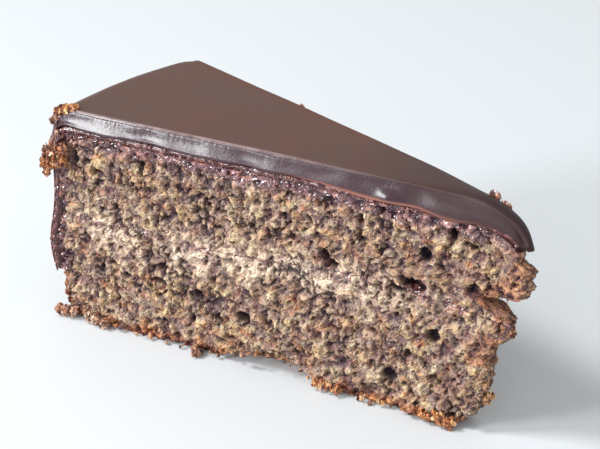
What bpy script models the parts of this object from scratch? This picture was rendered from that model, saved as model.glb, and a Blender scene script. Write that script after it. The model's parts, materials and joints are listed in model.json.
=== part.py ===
# A cut slice of sachertorte: two crumb layers with a jam filling between them,
# a thin jam coat around the crumb and a poured chocolate glaze over the top and the rim.
# Units are metres and +Z is up. The slice stands on z = 0, its tip points to +X, its rim to -X,
# and the cut that faces -Y is the front one.

import math
import random

import bmesh
import bpy
from mathutils import Matrix, Vector, noise

# Driving dimensions of the whole slice
SLICE_LENGTH = 0.1314
WEDGE_ANGLE = math.radians(22.5)
TOTAL_HEIGHT = 0.0593
TIP_X = 0.0651
AXIS_Y = 0.0012
TIP_HALF_WIDTH = 0.0020
GAP = 0.0003

# Layers, from the top down
GLAZE_THICKNESS = 0.0044
GLAZE_SIDE_THICKNESS = 0.0010
COAT_THICKNESS = 0.0008
COAT_SET_BACK = 0.0002
FILLING_THICKNESS = 0.0008
FILLING_SET_BACK = 0.0010
COAT_ABOVE_HEM = 0.0010
CRUMB_HEIGHT = TOTAL_HEIGHT - GLAZE_THICKNESS - COAT_THICKNESS - 2 * GAP

# The jam line rises a little towards the tip
JAM_HEIGHT = 0.0300
JAM_RISE = 0.0032
JAM_RISE_AT = 0.040
JAM_RISE_SPREAD = 0.026

# The rim of the crumb: bare crust at the foot, a bulge of the lower layer, a rounded top corner
SIDE_BUILD_UP = GLAZE_SIDE_THICKNESS + COAT_THICKNESS + 2 * GAP
BULGE = 0.0030
BULGE_HEIGHT = 0.0205
BULGE_SPREAD = 0.0105
CRUST_STEP = 0.0010
CRUST_STEP_FROM = 0.0095
CRUST_STEP_TO = 0.0115
WALL_RADIUS = SLICE_LENGTH - SIDE_BUILD_UP - BULGE
CORNER_RADIUS = 0.0040
GLAZE_CORNER_RADIUS = 0.0055
WORN_CORNER_RADIUS = 0.0080

# The glaze falls over the tip in two elliptic curves, an outer and an inner one
FALL_LENGTH = 0.0165
NOSE_LENGTH = -0.0008
OUTER_FALL = 0.0098
INNER_FALL = 0.0049
NOSE_ANGLE = math.radians(14)
COAT_NOSE_ANGLE = math.radians(24)
ELLIPSE_END = 0.985

# The cut faces: the knife drags a lip of glaze out at its lower edge and sets its top edge back
LIP = 0.0004
FRONT_SET_BACK = 0.0012
BACK_SET_BACK = -0.0004
WALL_SET_BACK = 0.0004
LIP_WAVE = 0.0005
LIP_WAVE_LENGTH = 0.009
WORN_FROM = -0.6
HEM_HEIGHT = 0.0142
HEM_WAVE = 0.0016
HEM_TURNS = 1.5

# The tip leans back towards the bottom, with a notch above the jam, a step and a lost corner
TIP_LEAN = 0.0060
TIP_NOTCH = 0.0065
TIP_NOTCH_ABOVE_JAM = 0.0042
TIP_NOTCH_SPREAD = 0.0020
TIP_STEP = 0.0034
TIP_STEP_FROM = 0.0225
TIP_STEP_TO = 0.0280
TIP_FOOT = 0.0060
TIP_FOOT_HEIGHT = 0.0030
TIP_ROUNDING = 0.0012
TIP_SMOOTH_BELOW_TOP = (0.0090, 0.0050)

# Relief of the crumb, as grain sizes and depths; each side reads its own stretch of the pattern
GRAIN = 0.0034
GRAIN_DEPTH = 0.0030
GRAIN_SIDE_SHIFT = 0.05
SWELL = 0.012
SWELL_DEPTH = 0.0010
SWELL_SIDE_SHIFT = 0.09
CRUST_DEPTH = 0.0008
CRUST_GRAIN = 0.006
FILLING_GRAIN = 0.007
FILLING_DEPTH = 0.0005
MOST_INWARD = 0.7
TIP_RELIEF = 0.4

# Chunk that broke from the bottom edge of the front cut
CHUNK_AT = 0.0640
CHUNK_LENGTH = 0.0110
CHUNK_HEIGHT = 0.0048
CHUNK_DEPTH = 0.0045
CHUNK_EDGE = 0.0011

# Open holes in the cuts: distance from the tip, height, half length, half height
FRONT_HOLES = (
    (0.0335, 0.0348, 0.0060, 0.0018),
    (0.0185, 0.0385, 0.0018, 0.0024),
    (0.0245, 0.0200, 0.0016, 0.0020),
    (0.0410, 0.0095, 0.0020, 0.0020),
    (0.0920, 0.0210, 0.0024, 0.0014),
    (0.0870, 0.0175, 0.0020, 0.0016),
    (0.1200, 0.0465, 0.0020, 0.0020),
    (0.0780, 0.0150, 0.0014, 0.0026),
)
BACK_HOLES = (
    (0.0440, 0.0400, 0.0022, 0.0022),
    (0.0980, 0.0120, 0.0026, 0.0016),
    (0.0700, 0.0440, 0.0018, 0.0020),
    (0.0620, 0.0130, 0.0030, 0.0014),
)
HOLE_DEPTH = 0.0022
HOLE_RIM = (0.5, 1.3)

# Strands of crumbs that cling to a layer: node, side (-1 front, 0 tip, 1 back), then a start and an
# end as distance from the tip, height and distance out of the cut, then the number and the size
STRANDS = (
    ("upper_sponge", -1, (0.1238, 0.0492, 0.0012), (0.1276, 0.0488, 0.0018), 3, 0.0021),
    ("upper_sponge", -1, (0.1234, 0.0462, 0.0012), (0.1281, 0.0456, 0.0019), 4, 0.0022),
    ("upper_sponge", -1, (0.1280, 0.0440, 0.0018), (0.1284, 0.0425, 0.0016), 2, 0.0011),
    ("upper_sponge", 1, (0.1232, 0.0440, 0.0014), (0.1215, 0.0480, 0.0014), 3, 0.0019),
    ("lower_sponge", -1, (0.1245, 0.0020, 0.0003), (0.1290, 0.0016, 0.0006), 4, 0.0016),
    ("lower_sponge", -1, (0.1195, 0.0018, 0.0003), (0.1140, 0.0016, 0.0012), 4, 0.0016),
    ("lower_sponge", -1, (0.0866, 0.0016, 0.0002), (0.0856, 0.0012, 0.0022), 3, 0.0011),
    ("lower_sponge", -1, (0.0520, 0.0018, 0.0004), (0.0460, 0.0016, 0.0010), 4, 0.0014),
    ("lower_sponge", -1, (0.0260, 0.0020, 0.0004), (0.0165, 0.0017, 0.0010), 5, 0.0017),
    ("lower_sponge", 1, (0.1180, 0.0018, 0.0003), (0.1110, 0.0016, 0.0008), 4, 0.0016),
    ("lower_sponge", 1, (0.0540, 0.0018, 0.0003), (0.0480, 0.0016, 0.0006), 4, 0.0015),
    ("lower_sponge", 0, (0.0062, 0.0280, 0.0), (0.0048, 0.0286, 0.0), 2, 0.0018),
    ("lower_sponge", 0, (0.0100, 0.0125, 0.0), (0.0090, 0.0090, 0.0), 2, 0.0017),
    ("chocolate_glaze", -1, (0.1226, 0.0580, -0.0022), (0.1186, 0.0592, -0.0026), 3, 0.0016),
)

STRAND_JITTER = 0.15
STRAND_SIZES = (0.85, 1.10)

# Single crumbs scattered over each cut: how many, between which heights, how large, and how far
# their centres stand out; clear of the jam line, the coat and the floor
SCATTERED = {"lower_sponge": 9, "upper_sponge": 7}
SCATTER_HEIGHTS = {
    "lower_sponge": (0.0020, JAM_HEIGHT - 0.0035),
    "upper_sponge": (JAM_HEIGHT + 0.0065, CRUMB_HEIGHT - 0.0030),
}
SCATTER_LENGTH = (0.0140, SLICE_LENGTH - 0.0100)
SCATTER_SIZE = (0.0011, 0.0017)
SCATTER_OUT = 0.0001
SCATTER_SEED = 31

# Shape of one crumb: the ranges it is squashed by and its roughness
CRUMB_SQUASH = ((0.90, 1.20), (0.60, 0.75), (0.80, 1.10))
CRUMB_ROUGHNESS = 0.22

# Mesh steps: along the slice, from cut to cut, and upwards
LOWER_STEPS = (56, 4, 12)
UPPER_STEPS = (56, 4, 9)
FILLING_STEPS = (30, 3, 1)
TOP_STEPS = 24
TIP_STEPS = 8
CORNER_STEPS = 5
WALL_STEPS = 12
SKIN_STEPS = TIP_STEPS + TOP_STEPS + CORNER_STEPS + WALL_STEPS
GLAZE_STEPS = (SKIN_STEPS, 7, 3)
COAT_STEPS = (SKIN_STEPS, 4, 1)

HALF_ANGLE = WEDGE_ANGLE / 2


def clear_scene():
    for item in list(bpy.data.objects):
        bpy.data.objects.remove(item, do_unlink=True)


def new_collection(name):
    made = bpy.data.collections.new(name)
    bpy.context.scene.collection.children.link(made)
    return made


def principled(name, colour, roughness):
    made = bpy.data.materials.new(name)
    made.use_nodes = True
    shader = made.node_tree.nodes["Principled BSDF"]
    shader.inputs["Base Color"].default_value = (*colour, 1.0)
    shader.inputs["Roughness"].default_value = roughness
    shader.inputs["Metallic"].default_value = 0.0
    made.diffuse_color = (*colour, 1.0)
    return made


def lerp(start, end, share):
    return start + (end - start) * share


def smooth_step(low, high, value):
    share = min(max((value - low) / (high - low), 0.0), 1.0)
    return share * share * (3 - 2 * share)


def bell(value, centre, spread):
    return math.exp(-(((value - centre) / spread) ** 2))


def ellipse_drop(share):
    """Share of its height that a quarter ellipse has fallen at this share of its length."""
    share = min(max(share, 0.0), ELLIPSE_END)
    return 1 - math.sqrt(1 - share * share)


def ellipse_axis(offset):
    """Length of the tip's falling curve for a skin this far outside the crumb."""
    return FALL_LENGTH + NOSE_LENGTH - SIDE_BUILD_UP + offset


def jam_height(radius):
    return JAM_HEIGHT + JAM_RISE * bell(radius, JAM_RISE_AT, JAM_RISE_SPREAD)


def crumb_top(radius):
    return CRUMB_HEIGHT - INNER_FALL * ellipse_drop((FALL_LENGTH - radius) / ellipse_axis(0.0))


def wall_radius(height):
    """Radius of the crumb's rim at this height."""
    step = CRUST_STEP * (1 - smooth_step(CRUST_STEP_FROM, CRUST_STEP_TO, height))
    bulge = BULGE * bell(height, BULGE_HEIGHT, BULGE_SPREAD)
    corner = CORNER_RADIUS * ellipse_drop((height - CRUMB_HEIGHT + CORNER_RADIUS) / CORNER_RADIUS)
    return WALL_RADIUS + step + bulge - corner


def tip_radius(height):
    """How far the crumb's tip stands back from the ideal tip at this height."""
    lean = TIP_LEAN * (1 - height / CRUMB_HEIGHT)
    notch = TIP_NOTCH * bell(height, jam_height(0) + TIP_NOTCH_ABOVE_JAM, TIP_NOTCH_SPREAD)
    step = TIP_STEP * (1 - smooth_step(TIP_STEP_FROM, TIP_STEP_TO, height))
    foot = TIP_FOOT * math.exp(-height / TIP_FOOT_HEIGHT)
    return lean + notch + step + foot


def half_width(radius):
    """Half of the wedge's width, which stays blunt at the tip."""
    ideal = max(radius, 0.0) * math.sin(HALF_ANGLE)
    return math.hypot(ideal, TIP_HALF_WIDTH)


def plan_point(radius, side, out=0.0):
    """Point in plan at this radius; side is -1 at the front cut and 1 at the back one.

    out moves the point square to its cut and away from the slice, less so towards the middle.
    """
    x = TIP_X - radius * math.cos(side * HALF_ANGLE)
    y = AXIS_Y + side * half_width(radius)
    outward = Vector((math.sin(HALF_ANGLE), math.copysign(math.cos(HALF_ANGLE), side)))
    return Vector((x, y)) + outward * max(out, -MOST_INWARD * half_width(radius)) * abs(side)


def grain_relief(radius, height, side):
    """Granular relief of torn crumb: rounded grains on a slow swell."""
    place = Vector((radius, height, GRAIN_SIDE_SHIFT * side)) / GRAIN
    nearest = noise.voronoi(place)[0][0]
    grains = 0.5 - min(nearest, 1.0)
    swell = noise.noise(Vector((radius, height, SWELL_SIDE_SHIFT * side)) / SWELL)
    return GRAIN_DEPTH * grains + SWELL_DEPTH * swell


def hole_relief(radius, height, side):
    deepest = 0.0
    for at, level, half_length, half_height in FRONT_HOLES if side < 0 else BACK_HOLES:
        away = math.hypot((radius - at) / half_length, (height - level) / half_height)
        deepest = max(deepest, HOLE_DEPTH * (1 - smooth_step(*HOLE_RIM, away)))
    return deepest


def chunk_relief(radius, height, side):
    """Depth of the broken bottom edge on the front cut."""
    if side > 0:
        return 0.0
    reach = CHUNK_HEIGHT * bell(radius, CHUNK_AT, CHUNK_LENGTH)
    return CHUNK_DEPTH * (1 - smooth_step(reach - CHUNK_EDGE, reach + CHUNK_EDGE, height))


def cut_relief(radius, height, side):
    """How far the crumb of a cut stands proud of the knife's plane."""
    relief = grain_relief(radius, height, side)
    relief -= hole_relief(radius, height, side)
    relief -= chunk_relief(radius, height, side)
    return relief * lerp(TIP_RELIEF, 1.0, smooth_step(0.0, FALL_LENGTH, radius))


def lattice(name, steps, shape, material, collection, smooth=False):
    """A cube primitive, cut into steps along its three directions and bent by shape(u, v, w).

    u runs from the tip to the rim, v from -1 at the front to 1 at the back, w from 0 to 1 upwards.
    """
    body = bmesh.new()
    bmesh.ops.create_cube(body, size=1.0)
    bmesh.ops.translate(body, verts=body.verts, vec=Vector((0.5, 0.5, 0.5)))
    for axis, count in enumerate(steps):
        normal = Vector([1.0 if axis == other else 0.0 for other in range(3)])
        for cut in range(1, count):
            geometry = body.verts[:] + body.edges[:] + body.faces[:]
            bmesh.ops.bisect_plane(body, geom=geometry, plane_co=normal * cut / count, plane_no=normal)
    for vertex in body.verts:
        u, v, w = vertex.co
        vertex.co = shape(u, 2 * v - 1, w)
    # u runs towards -X, so the bend mirrors the cube and its faces are turned outwards again
    bmesh.ops.reverse_faces(body, faces=body.faces)
    # What lies on z = 0 becomes one flat face; every bent face is split in two flat ones
    base = [face for face in body.faces if all(vertex.co.z == 0.0 for vertex in face.verts)]
    bent = [face for face in body.faces if face not in base]
    bmesh.ops.triangulate(body, faces=bent)
    if base:
        bmesh.ops.dissolve_faces(body, faces=base, use_verts=False)
    mesh = bpy.data.meshes.new(name)
    body.to_mesh(mesh)
    body.free()
    mesh.materials.append(material)
    if smooth:
        mesh.shade_smooth()
    made = bpy.data.objects.new(name, mesh)
    collection.objects.link(made)
    return made


def crumb_point(u, v, w, floor, ceiling):
    """A point of a crumb layer between its floor and its ceiling, both functions of the radius."""
    tip = tip_radius(lerp(floor(0.0), ceiling(0.0), w)) - TIP_ROUNDING * (1 - v * v)
    rim = wall_radius(lerp(floor(SLICE_LENGTH), ceiling(SLICE_LENGTH), w))
    radius = lerp(tip, rim, u)
    height = lerp(floor(radius), ceiling(radius), w)
    if u > 0.999 and height < CRUST_STEP_FROM:
        radius += CRUST_DEPTH * noise.noise(Vector((SLICE_LENGTH * HALF_ANGLE * v, height, 0)) / CRUST_GRAIN)
    proud = cut_relief(radius, height, math.copysign(1, v))
    if u > 0.999:
        proud = min(proud, 0.0)
    x, y = plan_point(radius, v, proud)
    if u < 0.001:
        start, end = (CRUMB_HEIGHT - below for below in TIP_SMOOTH_BELOW_TOP)
        under_glaze = smooth_step(start, end, height)
        x += grain_relief(SLICE_LENGTH + TIP_HALF_WIDTH * v, height, 0) * (1 - under_glaze)
    return Vector((x, y, height))


def lower_point(u, v, w):
    return crumb_point(u, v, w, lambda radius: 0.0, lambda radius: jam_height(radius) - GAP)


def upper_point(u, v, w):
    return crumb_point(u, v, w, lambda radius: jam_height(radius) + FILLING_THICKNESS + GAP, crumb_top)


def filling_point(u, v, w):
    floor = jam_height(SLICE_LENGTH / 2)
    radius = lerp(tip_radius(floor) + FILLING_SET_BACK, wall_radius(floor), u)
    height = jam_height(radius) + FILLING_THICKNESS * w
    wave = noise.noise(Vector((radius, math.copysign(SWELL, v), 0.0)) / FILLING_GRAIN)
    x, y = plan_point(radius, v, FILLING_DEPTH * wave)
    return Vector((x, y, height))


def skin_outline(share, top, fall, nose_angle, corner, side_offset, hem):
    """Radius and height on a skin's outline: over the tip, along the top, round the rim, down its wall."""
    step = share * SKIN_STEPS
    wall_top = top - corner
    wall = wall_radius(min(wall_top, CRUMB_HEIGHT - CORNER_RADIUS)) + side_offset
    if step <= TIP_STEPS:
        angle = lerp(nose_angle, math.pi / 2, step / TIP_STEPS)
        radius = FALL_LENGTH - ellipse_axis(side_offset) * math.cos(angle)
        return radius, top - fall * (1 - math.sin(angle))
    step -= TIP_STEPS
    if step <= TOP_STEPS:
        return lerp(FALL_LENGTH, wall - corner, step / TOP_STEPS), top
    step -= TOP_STEPS
    if step <= CORNER_STEPS:
        angle = math.pi / 2 * (1 - step / CORNER_STEPS)
        return wall - corner + corner * math.cos(angle), wall_top + corner * math.sin(angle)
    step -= CORNER_STEPS
    height = lerp(wall_top, hem, step / WALL_STEPS)
    return wall_radius(min(height, CRUMB_HEIGHT - CORNER_RADIUS)) + side_offset, height


def hem_height(side):
    """Height of the glaze's wavy lower edge round the rim."""
    return HEM_HEIGHT - HEM_WAVE * math.cos(HEM_TURNS * math.pi * (side + 1))


def coat_point(u, v, w):
    offset = GAP + COAT_THICKNESS * w
    radius, height = skin_outline(
        u, CRUMB_HEIGHT + offset, INNER_FALL, COAT_NOSE_ANGLE, CORNER_RADIUS + offset, offset,
        hem_height(v) + COAT_ABOVE_HEM,
    )
    x, y = plan_point(radius, v, -COAT_SET_BACK)
    return Vector((x, y, height))


def glaze_point(u, v, w):
    inner_offset = 2 * GAP + COAT_THICKNESS
    inner = skin_outline(
        u, CRUMB_HEIGHT + inner_offset, INNER_FALL, NOSE_ANGLE, CORNER_RADIUS + inner_offset,
        inner_offset, hem_height(v),
    )
    worn = smooth_step(WORN_FROM, -1.0, v)
    outer = skin_outline(
        u, TOTAL_HEIGHT, OUTER_FALL, NOSE_ANGLE, lerp(GLAZE_CORNER_RADIUS, WORN_CORNER_RADIUS, worn),
        inner_offset + GLAZE_SIDE_THICKNESS, hem_height(v),
    )
    radius = lerp(inner[0], outer[0], w)
    height = lerp(inner[1], outer[1], w)
    lip = LIP + LIP_WAVE * noise.noise(Vector((radius, math.copysign(SWELL, v), 0.0)) / LIP_WAVE_LENGTH)
    proud = lerp(lip, -FRONT_SET_BACK if v < 0 else -BACK_SET_BACK, w * w)
    on_wall = smooth_step(CRUMB_HEIGHT, CRUMB_HEIGHT - CORNER_RADIUS, height)
    proud = lerp(proud, -WALL_SET_BACK, on_wall)
    radius -= TIP_ROUNDING * (1 - v * v) * (1 - smooth_step(0.0, FALL_LENGTH / 2, radius))
    x, y = plan_point(radius, v, proud)
    return Vector((x, y, height))


def crumb_lump(place, size, draw, collection):
    """One crumb: a coarse sphere, squashed and roughened."""
    body = bmesh.new()
    bmesh.ops.create_icosphere(body, subdivisions=1, radius=size)
    turn = Matrix.Rotation(draw.uniform(0, math.tau), 3, Vector((draw.random(), draw.random(), 1)))
    squash = Vector([draw.uniform(*limits) for limits in CRUMB_SQUASH])
    for vertex in body.verts:
        rough = 1 + draw.uniform(-CRUMB_ROUGHNESS, CRUMB_ROUGHNESS)
        vertex.co = place + (turn @ vertex.co) * squash * rough
        vertex.co.z = max(vertex.co.z, GAP)
    mesh = bpy.data.meshes.new("crumb")
    body.to_mesh(mesh)
    body.free()
    collection.objects.link(bpy.data.objects.new("crumb", mesh))


def strand_crumbs(node, draw, collection):
    for name, side, start, end, count, size in STRANDS:
        if name != node:
            continue
        for step in range(count):
            share = step / (count - 1)
            radius, height, out = (lerp(first, last, share) for first, last in zip(start, end))
            x, y = plan_point(radius, side, out)
            jitter = Vector([draw.uniform(-1, 1) for axis in range(3)]) * size * STRAND_JITTER
            crumb_lump(Vector((x, y, height)) + jitter, size * draw.uniform(*STRAND_SIZES), draw, collection)


def scattered_crumbs(node, draw, collection):
    """Single crumbs over both cuts."""
    for side in (-1, 1):
        for step in range(SCATTERED[node]):
            share = (step + draw.random()) / SCATTERED[node]
            radius = lerp(*SCATTER_LENGTH, share)
            height = draw.uniform(*SCATTER_HEIGHTS[node])
            size = draw.uniform(*SCATTER_SIZE)
            x, y = plan_point(radius, side, cut_relief(radius, height, side) + SCATTER_OUT)
            crumb_lump(Vector((x, y, height)), size, draw, collection)


def keep_largest_piece(mesh):
    """Drops the scraps that no longer touch the main body."""
    body = bmesh.new()
    body.from_mesh(mesh)
    waiting = set(body.faces)
    pieces = []
    while waiting:
        front = [waiting.pop()]
        piece = set(front)
        while front:
            face = front.pop()
            near = {other for edge in face.edges for other in edge.link_faces} & waiting
            waiting -= near
            piece |= near
            front.extend(near)
        pieces.append(piece)
    main_piece = max(pieces, key=len)
    scraps = [face for piece in pieces if piece is not main_piece for face in piece]
    bmesh.ops.delete(body, geom=scraps, context="FACES")
    body.to_mesh(mesh)
    body.free()


def fuse_crumbs(target, draw):
    """Joins the node's crumbs to it in one union and removes them."""
    crumbs = new_collection(target.name + "_crumbs")
    strand_crumbs(target.name, draw, crumbs)
    if target.name in SCATTERED:
        scattered_crumbs(target.name, draw, crumbs)
    union = target.modifiers.new("crumbs", "BOOLEAN")
    union.operation = "UNION"
    union.operand_type = "COLLECTION"
    union.collection = crumbs
    union.solver = "EXACT"
    seen = target.evaluated_get(bpy.context.evaluated_depsgraph_get())
    fused = bpy.data.meshes.new_from_object(seen)
    target.modifiers.remove(union)
    plain = target.data
    target.data = fused
    fused.name = target.name
    bpy.data.meshes.remove(plain)
    keep_largest_piece(fused)
    for crumb in list(crumbs.objects):
        bpy.data.meshes.remove(crumb.data)
    bpy.data.collections.remove(crumbs)


def main():
    clear_scene()
    parts = new_collection("sachertorte_slice")
    crumb = principled("crumb", (0.30, 0.22, 0.15), 0.9)
    jam = principled("apricot_jam", (0.22, 0.055, 0.02), 0.25)
    glaze = principled("chocolate_glaze", (0.055, 0.030, 0.026), 0.35)

    lower = lattice("lower_sponge", LOWER_STEPS, lower_point, crumb, parts)
    upper = lattice("upper_sponge", UPPER_STEPS, upper_point, crumb, parts)
    lattice("jam_filling", FILLING_STEPS, filling_point, jam, parts, smooth=True)
    lattice("jam_coat", COAT_STEPS, coat_point, jam, parts, smooth=True)
    coating = lattice("chocolate_glaze", GLAZE_STEPS, glaze_point, glaze, parts, smooth=True)

    for number, layer in enumerate((lower, upper, coating)):
        fuse_crumbs(layer, random.Random(SCATTER_SEED + number))


main()
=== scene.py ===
import json
import math
import random

import bmesh
import bpy
import numpy as np
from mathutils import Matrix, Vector

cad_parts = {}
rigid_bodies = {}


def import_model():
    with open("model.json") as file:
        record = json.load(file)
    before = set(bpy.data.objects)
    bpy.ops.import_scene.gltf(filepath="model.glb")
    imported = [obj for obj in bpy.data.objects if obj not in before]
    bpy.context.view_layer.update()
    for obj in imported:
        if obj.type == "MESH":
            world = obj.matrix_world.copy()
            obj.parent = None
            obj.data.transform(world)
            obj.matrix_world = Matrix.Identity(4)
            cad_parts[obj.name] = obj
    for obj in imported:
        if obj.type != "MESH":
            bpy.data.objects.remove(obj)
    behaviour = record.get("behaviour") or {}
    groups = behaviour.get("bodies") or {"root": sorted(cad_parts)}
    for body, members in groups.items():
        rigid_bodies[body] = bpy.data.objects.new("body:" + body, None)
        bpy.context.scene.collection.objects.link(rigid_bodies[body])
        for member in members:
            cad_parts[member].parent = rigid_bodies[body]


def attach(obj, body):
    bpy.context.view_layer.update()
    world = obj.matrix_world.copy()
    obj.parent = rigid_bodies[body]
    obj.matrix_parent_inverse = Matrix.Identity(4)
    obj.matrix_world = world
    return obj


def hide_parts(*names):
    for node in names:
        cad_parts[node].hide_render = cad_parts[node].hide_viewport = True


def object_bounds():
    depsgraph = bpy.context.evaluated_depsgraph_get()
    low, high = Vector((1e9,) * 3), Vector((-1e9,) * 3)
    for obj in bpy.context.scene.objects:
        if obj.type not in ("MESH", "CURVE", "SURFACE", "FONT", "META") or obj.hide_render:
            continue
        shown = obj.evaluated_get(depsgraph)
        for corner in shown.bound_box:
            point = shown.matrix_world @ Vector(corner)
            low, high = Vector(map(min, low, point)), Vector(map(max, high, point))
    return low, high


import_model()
cadLow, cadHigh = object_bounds()
print("frame loaded")


# The slice: metres, tip towards +X, rim towards -X, the shown cut faces -Y
cake = {
    "length": 0.1314,
    "angle": math.radians(22.5),
    "height": 0.0593,
    "tipX": 0.0651,
    "axisY": 0.0012,
    "tipHalfWidth": 0.0020,
    "gap": 0.0003,
    "glaze": 0.0044,
    "glazeSide": 0.0010,
    "coat": 0.0008,
    "filling": 0.0008,
    "jamHeight": 0.0300,
    "jamRise": 0.0032,
    "jamRiseAt": 0.040,
    "jamRiseSpread": 0.026,
    "bulge": 0.0030,
    "bulgeAt": 0.0205,
    "bulgeSpread": 0.0105,
    "crustStep": 0.0010,
    "crustFrom": 0.0095,
    "crustTo": 0.0115,
    "corner": 0.0040,
    "glazeCorner": 0.0055,
    "wornCorner": 0.0080,
    "fall": 0.0165,
    "nose": -0.0008,
    "outerFall": 0.0098,
    "innerFall": 0.0049,
    "noseAngle": math.radians(14),
    "ellipseEnd": 0.985,
    "hem": 0.0142,
    "hemWave": 0.0016,
    "hemTurns": 1.5,
    "tipLean": 0.0060,
    "tipNotch": 0.0065,
    "notchAboveJam": 0.0042,
    "notchSpread": 0.0020,
    "tipStep": 0.0034,
    "stepFrom": 0.0225,
    "stepTo": 0.0280,
    "tipFoot": 0.0060,
    "footHeight": 0.0030,
    "tipRounding": 0.0012,
    "mostInward": 0.7,
}
tenthsPerMetre = 10000  # the tables of holes and crumbs are in tenths of a millimetre
halfAngle = cake["angle"] / 2
crumbHeight = cake["height"] - cake["glaze"] - cake["coat"] - 2 * cake["gap"]
buildUp = cake["glazeSide"] + cake["coat"] + 2 * cake["gap"]
wallBase = cake["length"] - buildUp - cake["bulge"]


# Colours are read off as 0 to 255 and turned into what the shader wants
def shade(red, green, blue):
    def linear(value):
        value /= 255
        return value / 12.92 if value <= 0.04045 else ((value + 0.055) / 1.055) ** 2.4
    return (linear(red), linear(green), linear(blue), 1.0)


def lerp(start, end, share):
    return start + (end - start) * share


def ease(low, high, value):
    share = np.clip((value - low) / (high - low), 0.0, 1.0)
    return share * share * (3 - 2 * share)


def bell(value, centre, spread):
    return np.exp(-(((value - centre) / spread) ** 2))


def rows(*columns):
    return np.stack(np.broadcast_arrays(*columns), axis=1)


def randomOf(cells, seed):
    # a repeatable number from 0 to 1 for every whole-numbered cell
    mixed = cells[..., 0] * 73856093 + cells[..., 1] * 19349663 + cells[..., 2] * 83492791 + seed * 12582917
    mixed = (mixed ^ (mixed >> 15)) * 2246822519 & 0xFFFFFFFF
    mixed = (mixed ^ (mixed >> 13)) * 3266489917 & 0xFFFFFFFF
    return ((mixed ^ (mixed >> 16)) & 0xFFFFFF) / 16777215.0


def cloud(places, size, seed):
    # soft noise from -1 to 1
    scaled = places / size
    base = np.floor(scaled).astype(np.int64)
    part = scaled - base
    part = part * part * (3 - 2 * part)
    total = np.zeros(len(places))
    for corner in np.ndindex(2, 2, 2):
        weight = np.ones(len(places))
        for axis in range(3):
            weight = weight * (part[:, axis] if corner[axis] else 1 - part[:, axis])
        total += weight * randomOf(base + np.array(corner), seed)
    return total * 2 - 1


def grains(places, size, seed):
    # distance to the nearest grain, how near the next one is, and the nearest grain's own number
    scaled = places / size
    base = np.floor(scaled).astype(np.int64)
    first = np.full(len(places), 9.0)
    second = np.full(len(places), 9.0)
    own = np.zeros(len(places))
    for step in np.ndindex(3, 3, 3):
        cell = base + np.array(step) - 1
        away = scaled - cell
        away = away - np.stack([randomOf(cell, seed + axis) for axis in range(3)], axis=-1)
        reach = np.sqrt((away * away).sum(axis=1))
        nearer = reach < first
        second = np.where(nearer, first, np.minimum(second, reach))
        own = np.where(nearer, randomOf(cell, seed + 3), own)
        first = np.where(nearer, reach, first)
    return first, second - first, own


def ellipseDrop(share):
    share = np.clip(share, 0.0, cake["ellipseEnd"])
    return 1 - np.sqrt(1 - share * share)


def ellipseAxis(offset):
    return cake["fall"] + cake["nose"] - buildUp + offset


def jamHeight(radius):
    return cake["jamHeight"] + cake["jamRise"] * bell(radius, cake["jamRiseAt"], cake["jamRiseSpread"])


def crumbTop(radius):
    return crumbHeight - cake["innerFall"] * ellipseDrop((cake["fall"] - radius) / ellipseAxis(0.0))


def wallRadius(height):
    step = cake["crustStep"] * (1 - ease(cake["crustFrom"], cake["crustTo"], height))
    bulge = cake["bulge"] * bell(height, cake["bulgeAt"], cake["bulgeSpread"])
    corner = cake["corner"] * ellipseDrop((height - crumbHeight + cake["corner"]) / cake["corner"])
    return wallBase + step + bulge - corner


def hemHeight(side):
    return cake["hem"] - cake["hemWave"] * np.cos(cake["hemTurns"] * math.pi * (side + 1))


def tipRadius(height):
    lean = cake["tipLean"] * (1 - height / crumbHeight)
    notch = cake["tipNotch"] * bell(height, jamHeight(0.0) + cake["notchAboveJam"], cake["notchSpread"])
    step = cake["tipStep"] * (1 - ease(cake["stepFrom"], cake["stepTo"], height))
    foot = cake["tipFoot"] * np.exp(-height / cake["footHeight"])
    return lean + notch + step + foot


def halfWidth(radius):
    return np.hypot(np.maximum(radius, 0.0) * math.sin(halfAngle), cake["tipHalfWidth"])


def planPoint(radius, side, out):
    # out moves a point square to its cut, less so towards the middle of the slice
    shift = np.maximum(out, -cake["mostInward"] * halfWidth(radius)) * np.abs(side)
    x = cake["tipX"] - radius * np.cos(side * halfAngle) + math.sin(halfAngle) * shift
    y = cake["axisY"] + side * halfWidth(radius) + np.sign(side) * math.cos(halfAngle) * shift
    return x, y


def boxShell(along, across, up):
    # whole-number places on the skin of a block, and its quads
    number = np.full((along + 1, across + 1, up + 1), -1)
    skin = np.zeros(number.shape, bool)
    skin[0] = skin[-1] = True
    skin[:, 0] = skin[:, -1] = True
    skin[:, :, 0] = skin[:, :, -1] = True
    places = np.argwhere(skin)
    number[skin] = np.arange(len(places))
    quads = []
    for face, turned in (
        (number[:, :, 0], False), (number[:, :, -1], True),
        (number[:, 0, :], True), (number[:, -1, :], False),
        (number[0], False), (number[-1], True),
    ):
        ring = [face[:-1, :-1], face[1:, :-1], face[1:, 1:], face[:-1, 1:]]
        ring = ring[::-1] if turned else ring
        quads.append(np.stack([corner.ravel() for corner in ring], axis=1))
    return places, np.concatenate(quads)


def makeMesh(name, points, quads):
    mesh = bpy.data.meshes.new(name)
    mesh.from_pydata(points.tolist(), [], quads.tolist())
    made = bpy.data.objects.new(name, mesh)
    bpy.context.scene.collection.objects.link(made)
    return made


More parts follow.
